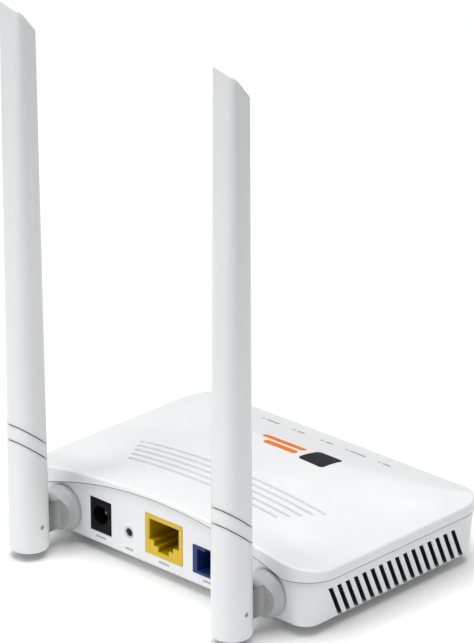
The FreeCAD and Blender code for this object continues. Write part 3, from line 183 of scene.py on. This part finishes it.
def metal(name, colour, rough=(0.22, 0.4), stretch=(1, 1, 12)):
    """Bare metal with fine lines one way."""
    material, tree, shader = new_material(name)
    place = coordinates(tree, stretch)
    lines = noise(tree, place, scale=900, detail=3, roughness=0.6)
    shade = ramp(tree, lines, [(0.3, tint(colour, 0.86)), (0.7, tint(colour, 1.06))])
    tree.links.new(shade, shader.inputs["Base Color"])
    tree.links.new(spread(tree, lines, *rough), shader.inputs["Roughness"])
    bump(tree, shader, lines, 0.01 * MM)
    shader.inputs["Metallic"].default_value = 1
    return material


def rubber(name, colour):
    """Matte rubber with a coarse grain and a little bloom."""
    material, tree, shader = new_material(name)
    place = coordinates(tree)
    bloom = noise(tree, place, scale=320, detail=6, roughness=0.7)
    shade = ramp(tree, bloom, [(0.35, colour), (0.75, tint(colour, 1.25))])
    tree.links.new(shade, shader.inputs["Base Color"])
    tree.links.new(spread(tree, bloom, low=0.7, high=0.9), shader.inputs["Roughness"])
    bump(tree, shader, noise(tree, place, scale=2600, detail=2), 0.03 * MM)
    return material


def laminate(name, colour):
    """Solder-masked circuit board with raised copper tracks under the mask."""
    material, tree, shader = new_material(name)
    place = coordinates(tree)
    tracks = tree.nodes.new("ShaderNodeTexBrick")
    tracks.inputs["Scale"].default_value = 260
    tracks.inputs["Mortar Size"].default_value = 0.03
    tracks.inputs["Color1"].default_value = (*tint(colour, 0.8), 1)
    tracks.inputs["Color2"].default_value = (*colour, 1)
    tracks.inputs["Mortar"].default_value = (*tint(colour, 1.8), 1)
    tree.links.new(place, tracks.inputs["Vector"])
    tree.links.new(tracks.outputs["Color"], shader.inputs["Base Color"])
    patches = noise(tree, place, scale=500)
    tree.links.new(spread(tree, patches, low=0.28, high=0.42), shader.inputs["Roughness"])
    bump(tree, shader, tracks.outputs["Fac"], 0.03 * MM)
    return material


def clear(name, colour):
    """Clear plastic with a faint haze."""
    material, tree, shader = new_material(name)
    place = coordinates(tree)
    haze = noise(tree, place, scale=150, detail=3)
    shade = ramp(tree, haze, [(0.3, tint(colour, 0.95)), (0.7, colour)])
    tree.links.new(shade, shader.inputs["Base Color"])
    tree.links.new(spread(tree, haze, low=0.18, high=0.3), shader.inputs["Roughness"])
    shader.inputs["Transmission Weight"].default_value = 0.75
    shader.inputs["IOR"].default_value = 1.49
    return material


def printed(name, colour):
    """A thin layer of screen-printed ink, slightly uneven in its shade and its gloss."""
    material, tree, shader = new_material(name)
    place = coordinates(tree)
    ink = noise(tree, place, scale=1400, detail=4)
    shade = ramp(tree, ink, [(0.3, tint(colour, 0.88)), (0.65, colour)])
    tree.links.new(shade, shader.inputs["Base Color"])
    tree.links.new(spread(tree, ink, low=0.4, high=0.55), shader.inputs["Roughness"])
    bump(tree, shader, ink, 0.006 * MM)
    shader.inputs["Specular IOR Level"].default_value = 0.2
    return material


WHITE = (0.84, 0.845, 0.855)
FINE_GRAIN = {"grain": 900, "depth": 0.002 * MM}

# The case's shape, for the painted shade below: the height of the parting line above the underside, how
# far the side walls lean out by there (the front wall leans out twice as far), the radius of the corners
# at the underside and at the parting line, and the arch of the rear panel: its rise, half its width, and
# how far ahead of the panel's face it starts.
PARTING = 14.8 * MM
LEAN = 1.6 * MM
LOW_CORNER = 6 * MM
TOP_CORNER = 11.6 * MM
ARCH_RISE = 8.5 * MM
ARCH_HALF = 50.5 * MM
ARCH_DEEP = 3 * MM

# The side vents: how deep under the wall's face their shade starts, how far out from the middle they
# are, their distances ahead of the rear panel, and their heights above the underside.
VENT_DEEP = 0.15 * MM
VENT_ACROSS = 55 * MM
VENT_FRONT, VENT_REAR = 72.5 * MM, 8 * MM
VENT_LOW, VENT_HIGH = 0.9 * MM, 13 * MM

# The openings in the rear panel: how far from the middle they reach, how far ahead of the panel's face
# their shade ends and starts, and their heights above the underside.
OPENING_ACROSS = 49 * MM
OPENING_FRONT, OPENING_REAR = 2.4 * MM, 0.25 * MM
OPENING_LOW, OPENING_HIGH = 1.6 * MM, 19 * MM

# Half the height of the band of painted shade along the parting line.
SEAM = 0.25 * MM

# The two lines around each antenna: their heights above the hinge, how steeply they rise to the rear,
# half the width of each line's gap, and how far from each line its soft edges reach. The hinge lies
# behind the rear panel and above the underside of the case.
TRIM_LINES = (24.7 * MM, 29.9 * MM)
TRIM_SLOPE = 0.82
TRIM_HALF = 0.26 * MM
TRIM_SOFT = 1.2 * MM
HINGE_BEHIND = 15.7 * MM
HINGE_ABOVE = 8.1 * MM

# The painted shade in the hollow beside each antenna: how far behind the panel it starts, and how far it
# takes to reach its full depth. The painted shade in the network socket starts just under the panel's
# face.
HOLLOW_BEHIND = 5.5 * MM
HOLLOW_FADE = 3 * MM
SOCKET_DEEP = 0.2 * MM

# How much of a material's colour is left in each place of painted shade, including the whole knuckle.
VENT_SHADE = 0.04
OPENING_SHADE = 0.25
SEAM_SHADE = 0.3
TRIM_SHADE = 0.78
HOLLOW_SHADE = 0.45
SOCKET_SHADE = 0.6
KNUCKLE_SHADE = 0.6


def vent_mask(tree, across, y, z):
    """The inside of the vent slots, where shade is painted: anything deeper than the side wall's outer
    face, which leans out and turns in at both corners."""
    rise = calc(tree, "DIVIDE", calc(tree, "SUBTRACT", z, case_low.z), PARTING)
    face = calc(tree, "MULTIPLY_ADD", rise, LEAN, case_high.x - LEAN)
    corner = calc(tree, "MULTIPLY_ADD", rise, TOP_CORNER - LOW_CORNER, LOW_CORNER)
    front = calc(tree, "MULTIPLY_ADD", rise, -2 * LEAN, case_low.y + 2 * LEAN)
    past_rear = calc(tree, "SUBTRACT", y, calc(tree, "SUBTRACT", panel_y, corner))
    past_front = calc(tree, "SUBTRACT", calc(tree, "ADD", front, corner), y)
    past = calc(tree, "MAXIMUM", calc(tree, "MAXIMUM", past_rear, past_front), 0)
    squares = calc(tree, "SUBTRACT", calc(tree, "POWER", corner, 2), calc(tree, "POWER", past, 2))
    turned_in = calc(tree, "SUBTRACT", corner, calc(tree, "SQRT", squares))
    depth = calc(tree, "SUBTRACT", calc(tree, "SUBTRACT", face, turned_in), across)
    return all_of(tree, calc(tree, "GREATER_THAN", depth, VENT_DEEP),
                  calc(tree, "GREATER_THAN", across, VENT_ACROSS),
                  between(tree, y, panel_y - VENT_FRONT, panel_y - VENT_REAR),
                  between(tree, z, case_low.z + VENT_LOW, case_low.z + VENT_HIGH))


def opening_mask(tree, across, y, z):
    """The inside of the openings in the rear panel, where shade is painted."""
    return all_of(tree, calc(tree, "LESS_THAN", across, OPENING_ACROSS),
                  between(tree, y, panel_y - OPENING_FRONT, panel_y - OPENING_REAR),
                  between(tree, z, case_low.z + OPENING_LOW, case_low.z + OPENING_HIGH))


def parting_mask(tree, across, y, z):
    """A thin band of painted shade along the parting line, which arches over the rear panel."""
    parting_z = case_low.z + PARTING
    radius = (ARCH_HALF ** 2 + ARCH_RISE ** 2) / (2 * ARCH_RISE)
    middle = parting_z + ARCH_RISE - radius
    up = calc(tree, "POWER", calc(tree, "SUBTRACT", z, middle), 2)
    from_middle = calc(tree, "SQRT", calc(tree, "ADD", calc(tree, "POWER", across, 2), up))
    above_flat = calc(tree, "SUBTRACT", z, parting_z)
    above_arch = calc(tree, "MINIMUM", calc(tree, "SUBTRACT", from_middle, radius), above_flat)
    ahead = calc(tree, "LESS_THAN", y, panel_y - ARCH_DEEP)
    in_arch = calc(tree, "GREATER_THAN", y, panel_y - ARCH_DEEP)
    flat = all_of(tree, ahead, between(tree, above_flat, -SEAM, SEAM))
    arch = all_of(tree, in_arch, between(tree, above_arch, -SEAM, SEAM))
    return calc(tree, "MAXIMUM", flat, arch)


def trim_mask(tree, y, z):
    """Painted shade at the edges of the two lines around each antenna, fading to 0 a little way off."""
    behind = calc(tree, "SUBTRACT", y, panel_y + HINGE_BEHIND)
    level = calc(tree, "MULTIPLY_ADD", behind, -TRIM_SLOPE, z)
    near = 0
    for line in TRIM_LINES:
        off = calc(tree, "ABSOLUTE", calc(tree, "SUBTRACT", level, case_low.z + HINGE_ABOVE + line))
        edge = calc(tree, "MULTIPLY_ADD", off, -1 / TRIM_SOFT, 1)
        outside = calc(tree, "GREATER_THAN", off, TRIM_HALF)
        near = calc(tree, "MAXIMUM", near, calc(tree, "MULTIPLY", edge, outside))
    return near


def case_plastic(name):
    """White moulding with painted shade in its vents, openings and parting line, where little light
    reaches.
    """
    material = moulded(name, WHITE, rough=(0.3, 0.36), **FINE_GRAIN)
    tree = material.node_tree
    x, y, z = axes(tree)
    across = calc(tree, "ABSOLUTE", x)
    darken(material, vent_mask(tree, across, y, z), VENT_SHADE)
    darken(material, opening_mask(tree, across, y, z), OPENING_SHADE)
    darken(material, parting_mask(tree, across, y, z), SEAM_SHADE)
    return material


def antenna_plastic(name):
    """White moulding, with a soft edge of painted shade along the two trim lines."""
    material = moulded(name, WHITE, rough=(0.28, 0.34), stretch=(1, 1, 0.35), **FINE_GRAIN)
    tree = material.node_tree
    y, z = axes(tree)[1:]
    darken(material, trim_mask(tree, y, z), TRIM_SHADE)
    return material


def knuckle_painted_shade(name):
    """White moulding with painted shade: greyer all over, and darker towards the hollow beside the
    antenna.
    """
    material = moulded(name, tint(WHITE, KNUCKLE_SHADE), rough=(0.34, 0.42), **FINE_GRAIN)
    tree = material.node_tree
    y = axes(tree)[1]
    behind = calc(tree, "SUBTRACT", y, panel_y + HOLLOW_BEHIND)
    fade = calc(tree, "DIVIDE", behind, HOLLOW_FADE)
    hollow = calc(tree, "MINIMUM", calc(tree, "MAXIMUM", fade, 0), 1)
    darken(material, hollow, HOLLOW_SHADE)
    return material


def jack_plastic(name):
    """Yellow moulding, with painted shade inside the socket."""
    material = moulded(name, (0.7, 0.47, 0.006), rough=(0.32, 0.42), vary=0.05)
    tree = material.node_tree
    y = axes(tree)[1]
    deep = calc(tree, "LESS_THAN", y, panel_y - SOCKET_DEEP)
    darken(material, deep, SOCKET_SHADE)
    return material


FINISHES = {
    "case_plastic": case_plastic,
    "antenna_plastic": antenna_plastic,
    "clip_plastic": lambda name: moulded(name, (0.75, 0.75, 0.76), rough=(0.45, 0.6)),
    "foot_rubber": lambda name: rubber(name, (0.3, 0.3, 0.31)),
    "label_paper": lambda name: moulded(name, (0.8, 0.8, 0.81), rough=(0.4, 0.5), grain=3000),
    "screw_steel": lambda name: metal(name, (0.6, 0.6, 0.62)),
    "board_laminate": lambda name: laminate(name, (0.015, 0.13, 0.05)),
    "chip_resin": lambda name: moulded(name, (0.022, 0.022, 0.025), rough=(0.5, 0.65), grain=3200),
    "sink_aluminium": lambda name: metal(name, (0.8, 0.81, 0.83), stretch=(1, 14, 1)),
    "pad_silicone": lambda name: rubber(name, (0.32, 0.46, 0.62)),
    "can_steel": lambda name: metal(name, (0.7, 0.7, 0.71), stretch=(14, 1, 1)),
    "capacitor_sleeve": lambda name: moulded(name, (0.02, 0.02, 0.06), rough=(0.15, 0.25)),
    "ceramic_chip": lambda name: moulded(name, (0.5, 0.38, 0.25), rough=(0.5, 0.65), vary=0.1),
    "led_lens": lambda name: moulded(name, (0.75, 0.85, 0.7), rough=(0.1, 0.2)),
    "pipe_clear": lambda name: clear(name, (0.9, 0.93, 0.95)),
    "jack_yellow": jack_plastic,
    "contact_gold": lambda name: metal(name, (0.83, 0.62, 0.25), rough=(0.15, 0.28)),
    "jack_black": lambda name: moulded(name, (0.006, 0.006, 0.007), rough=(0.4, 0.55), vary=0.15,
                                       shine=0.12),
    "pin_nickel": lambda name: metal(name, (0.7, 0.68, 0.64), rough=(0.12, 0.25)),
    "adapter_blue": lambda name: moulded(name, (0.01, 0.034, 0.18), rough=(0.32, 0.45), vary=0.08,
                                         shine=0.3),
    "coax_jacket": lambda name: moulded(name, (0.03, 0.03, 0.032), rough=(0.45, 0.6)),
    "radiator_brass": lambda name: metal(name, (0.78, 0.58, 0.26)),
}


def paint_frame():
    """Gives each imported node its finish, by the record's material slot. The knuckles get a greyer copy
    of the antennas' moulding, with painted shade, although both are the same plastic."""
    finishes = {slot: make(slot) for slot, make in FINISHES.items()}
    # The knuckles' copy of the white moulding, with painted shade.
    knuckle = knuckle_painted_shade("knuckle_painted_shade")
    for part in frame["record"]["subparts"]:
        for place in nodes[part["node"]].material_slots:
            plain = finishes[part["material_slot"]]
            place.material = knuckle if part["node"].endswith("_knuckle") else plain


# Printed marks. They are flat shapes laid on a surface, a little proud of it. The sizes are how far the
# ink stands off, how thick it is, and the length past which its edges are split to follow a curve.

INK_OFF = 0.03 * MM
INK_THICK = 0.03 * MM
INK_EDGE = 1.2 * MM


def in_scene(name, mesh, material):
    """An object with a mesh and one material, in the scene."""
    made = bpy.data.objects.new(name, mesh)
    made.data.materials.append(material)
    bpy.context.scene.collection.objects.link(made)
    return made


def capsule(x, y, length, width, steps=8):
    """The outline of a bar with round ends along x, anticlockwise."""
    radius = width / 2
    reach = length / 2 - radius
    points = []
    for end in (1, -1):
        for i in range(steps + 1):
            turn = math.pi * (i / steps - 0.5) + (0 if end > 0 else math.pi)
            points.append((x + end * reach + radius * math.cos(turn), y + radius * math.sin(turn)))
    return points


def rounded(x, y, width, height, radius, steps=5):
    """The outline of a rectangle with round corners, anticlockwise."""
    points = []
    for i, (across, up) in enumerate(((1, -1), (1, 1), (-1, 1), (-1, -1))):
        for j in range(steps + 1):
            turn = (i - 1 + j / steps) * math.pi / 2
            points.append((x + across * (width / 2 - radius) + radius * math.cos(turn),
                           y + up * (height / 2 - radius) + radius * math.sin(turn)))
    return points


def ring(x, y, radius, width, steps=32):
    """The two outlines of a ring."""
    circles = []
    for size in (radius + width / 2, radius - width / 2):
        circles.append([(x + size * math.cos(2 * math.pi * i / steps),
                         y + size * math.sin(2 * math.pi * i / steps)) for i in range(steps)])
    return circles


def printed_marks(name, outlines, rings, lay, body, material):
    """One piece made of flat outlines and rings. lay puts a point of the flat drawing on the surface."""
    shapes = bmesh.new()
    for outline in outlines:
        shapes.faces.new([shapes.verts.new((*point, 0)) for point in outline])
    for outer, inner in rings:
        pairs = [(shapes.verts.new((*a, 0)), shapes.verts.new((*b, 0))) for a, b in zip(outer, inner)]
        for (a, b), (c, d) in zip(pairs, pairs[1:] + pairs[:1]):
            shapes.faces.new((a, c, d, b))
    bmesh.ops.triangulate(shapes, faces=shapes.faces)
    for _ in range(2):
        long_edges = [edge for edge in shapes.edges if edge.calc_length() > INK_EDGE]
        bmesh.ops.subdivide_edges(shapes, edges=long_edges, cuts=1)
        bmesh.ops.triangulate(shapes, faces=shapes.faces)
    for vertex in shapes.verts:
        vertex.co = lay(vertex.co.x, vertex.co.y)
    mesh = bpy.data.meshes.new(name)
    shapes.to_mesh(mesh)
    shapes.free()
    made = in_scene(name, mesh, material)
    skin = made.modifiers.new("thickness", "SOLIDIFY")
    skin.thickness = INK_THICK
    skin.offset = 1
    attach(made, body)


def on_cover(x, y):
    """The point on the top cover over a place, a hair above it."""
    hit = cover_tree.ray_cast(Vector((x, y, 1)), Vector((0, 0, -1)))[0]
    return hit + Vector((0, 0, INK_OFF))


def on_panel(x, z):
    """The point on the rear panel at a place, a hair behind it."""
    return Vector((x, panel_y + INK_OFF, z))


def on_label(x, y):
    """The point under the rating label at a place, a hair below it."""
    return Vector((x, y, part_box("rating_label")[0].z - INK_OFF))


def cover_surface():
    """The top cover's surface, to lay marks on."""
    mesh = nodes["top_cover"].data
    points = [vertex.co.copy() for vertex in mesh.vertices]
    faces = [tuple(polygon.vertices) for polygon in mesh.polygons]
    return BVHTree.FromPolygons(points, faces)


def top_mark():
    """A plain generic mark on the raised middle: a dark tile and two orange bars."""
    ink = printed("mark_ink_dark", (0.02, 0.02, 0.022))
    accent = printed("mark_ink_orange", (0.85, 0.2, 0.02))
    y = panel_y - 56 * MM
    side, corner = 10.4 * MM, 1.4 * MM
    tile = [rounded(-13.6 * MM, y - 0.4 * MM, side, side, corner)]
    printed_marks("top_mark_tile", tile, [], on_cover, "case", ink)
    thick = 2.6 * MM
    bars = [capsule(1.2 * MM, y + 2.2 * MM, 14 * MM, thick), capsule(3.4 * MM, y - 2 * MM, 18 * MM, thick)]
    printed_marks("top_mark_bars", bars, [], on_cover, "case", accent)


def light_marks():
    """A small grey mark on the front strip behind each status light: a bar and a dot."""
    ink = printed("mark_ink_grey", (0.4, 0.4, 0.41))
    lengths = (3.4, 6.6, 3.2, 3, 5.6)
    window, thick, dot = 3 * MM, 1.1 * MM, 1.15 * MM
    low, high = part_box("light_pipe")
    pitch = (high.x - low.x - window) / (len(lengths) - 1)
    y = panel_y - 73.6 * MM
    shapes = []
    for i, length in enumerate(lengths):
        x = low.x + 2.8 * MM + i * pitch
        shapes.append(capsule(x - 0.6 * MM, y, length * MM, thick))
        shapes.append(capsule(x + (length / 2 + 0.9) * MM, y, dot, thick))
    printed_marks("light_marks", shapes, [], on_cover, "case", ink)


def port_marks():
    """Grey marks under the ports on the rear panel, and a ring around the reset hole."""
    ink = printed("port_ink_grey", (0.46, 0.46, 0.47))
    lengths = {"dc_jack": 4.5, "ethernet_jack": 4.5, "fibre_adapter": 4.5, "reset_plunger": 3.4}
    thick = 0.7 * MM
    z = board_top - 1.6 * MM
    shapes = []
    for node, length in lengths.items():
        low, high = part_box(node)
        shapes.append(capsule((low.x + high.x) / 2, z, length * MM, thick))
    low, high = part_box("reset_plunger")
    around_hole = ring((low.x + high.x) / 2, (low.z + high.z) / 2, radius=1.8 * MM, width=0.3 * MM)
    printed_marks("port_marks", shapes, [around_hole], on_panel, "case", ink)


def label_marks():
    """Plain lines and a block of stripes on the rating label, in place of its print."""
    ink = printed("label_ink", (0.06, 0.06, 0.065))
    margin, line_pitch, line_thick = 4 * MM, 3.2 * MM, 1.1 * MM
    stripe_height, stripe_gap, stripe_corner = 6 * MM, 0.7, 0.1 * MM
    low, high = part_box("rating_label")
    left, top = low.x + margin, high.y - margin
    shapes = []
    for i, length in enumerate((24, 31, 18, 27, 22, 29)):
        shapes.append(capsule(left + length * MM / 2, top - line_pitch * i, length * MM, line_thick))
    x = left
    y = low.y + stripe_height
    for width in [0.5, 0.9, 0.5, 1.3, 0.5, 0.5, 0.9, 1.3, 0.5, 0.9] * 2:
        shapes.append(rounded(x + width * MM / 2, y, width * MM, stripe_height, stripe_corner))
        x += (width + stripe_gap) * MM
    printed_marks("label_marks", shapes, [], on_label, "case", ink)


# Studio

def area_light(name, place, target, size, power):
    """A soft box at a place, facing a target."""
    data = bpy.data.lights.new(name, "AREA")
    data.shape = "RECTANGLE"
    data.size, data.size_y = size
    data.energy = power
    made = bpy.data.objects.new(name, data)
    made.location = place
    made.rotation_euler = (Vector(target) - Vector(place)).to_track_quat("-Z", "Y").to_euler()
    bpy.context.scene.collection.objects.link(made)


def round_the_object(azimuth, elevation, distance, target):
    """A place around a target, by the same angles that the camera uses."""
    turn, rise = math.radians(azimuth), math.radians(elevation)
    back = Vector((math.sin(turn) * math.cos(rise), -math.cos(turn) * math.cos(rise), math.sin(rise)))
    return Vector(target) + back * distance


def pale_floor():
    """A pale square, small enough to end where the lights still leave it white."""
    half = 0.38
    paper = moulded("floor_paper", (0.97, 0.97, 0.97), rough=(0.7, 0.8), vary=0.01, grain=300)
    corners = [(-half, -half, 0), (half, -half, 0), (half, half, 0), (-half, half, 0)]
    mesh = bpy.data.meshes.new("floor")
    mesh.from_pydata(corners, [], [(0, 1, 2, 3)])
    mesh.update()
    floor = in_scene("floor", mesh, paper)


def white_background():
    """A white background, which lights the object more weakly than it looks."""
    light = 0.25
    made = bpy.data.worlds.new("studio")
    made.use_nodes = True
    tree = made.node_tree
    background = tree.nodes["Background"]
    background.inputs["Color"].default_value = (1, 1, 1, 1)
    seen = tree.nodes.new("ShaderNodeLightPath").outputs["Is Camera Ray"]
    tree.links.new(calc(tree, "MAXIMUM", seen, light), background.inputs["Strength"])
    bpy.context.scene.world = made


def studio():
    """Pale floor, white surroundings and three soft lights: name, azimuth, elevation, distance, size
    and power."""
    pale_floor()
    white_background()
    middle = (0, 0, 80 * MM)
    lights = (("overhead", 180, 86, 1.7, (1.8, 1.8), 34),
              ("key", 155, 28, 1.5, (0.8, 0.8), 6.5),
              ("strip", 262, 12, 1.1, (0.1, 1.0), 0.42))
    for name, azimuth, elevation, distance, size, power in lights:
        area_light(name, round_the_object(azimuth, elevation, distance, middle), middle, size, power)
    bpy.context.scene.view_settings.view_transform = "Standard"


def camera():
    """The camera behind the object, to its right and above it, with a long lens."""
    target = Vector((-31.2 * MM, panel_y, case_low.z + 92.5 * MM))
    azimuth, elevation, distance = 223.7, 22.3, 1.152
    data = bpy.data.cameras.new("camera")
    data.lens = 218.4
    data.sensor_width = 36
    made = bpy.data.objects.new("camera", data)
    made.location = round_the_object(azimuth, elevation, distance, target)
    made.rotation_mode = "QUATERNION"
    made.rotation_quaternion = (target - made.location).to_track_quat("-Z", "Y")
    bpy.context.scene.collection.objects.link(made)
    bpy.context.scene.camera = made


cover_tree = cover_surface()
paint_frame()
top_mark()
light_marks()
port_marks()
label_marks()
studio()
camera()
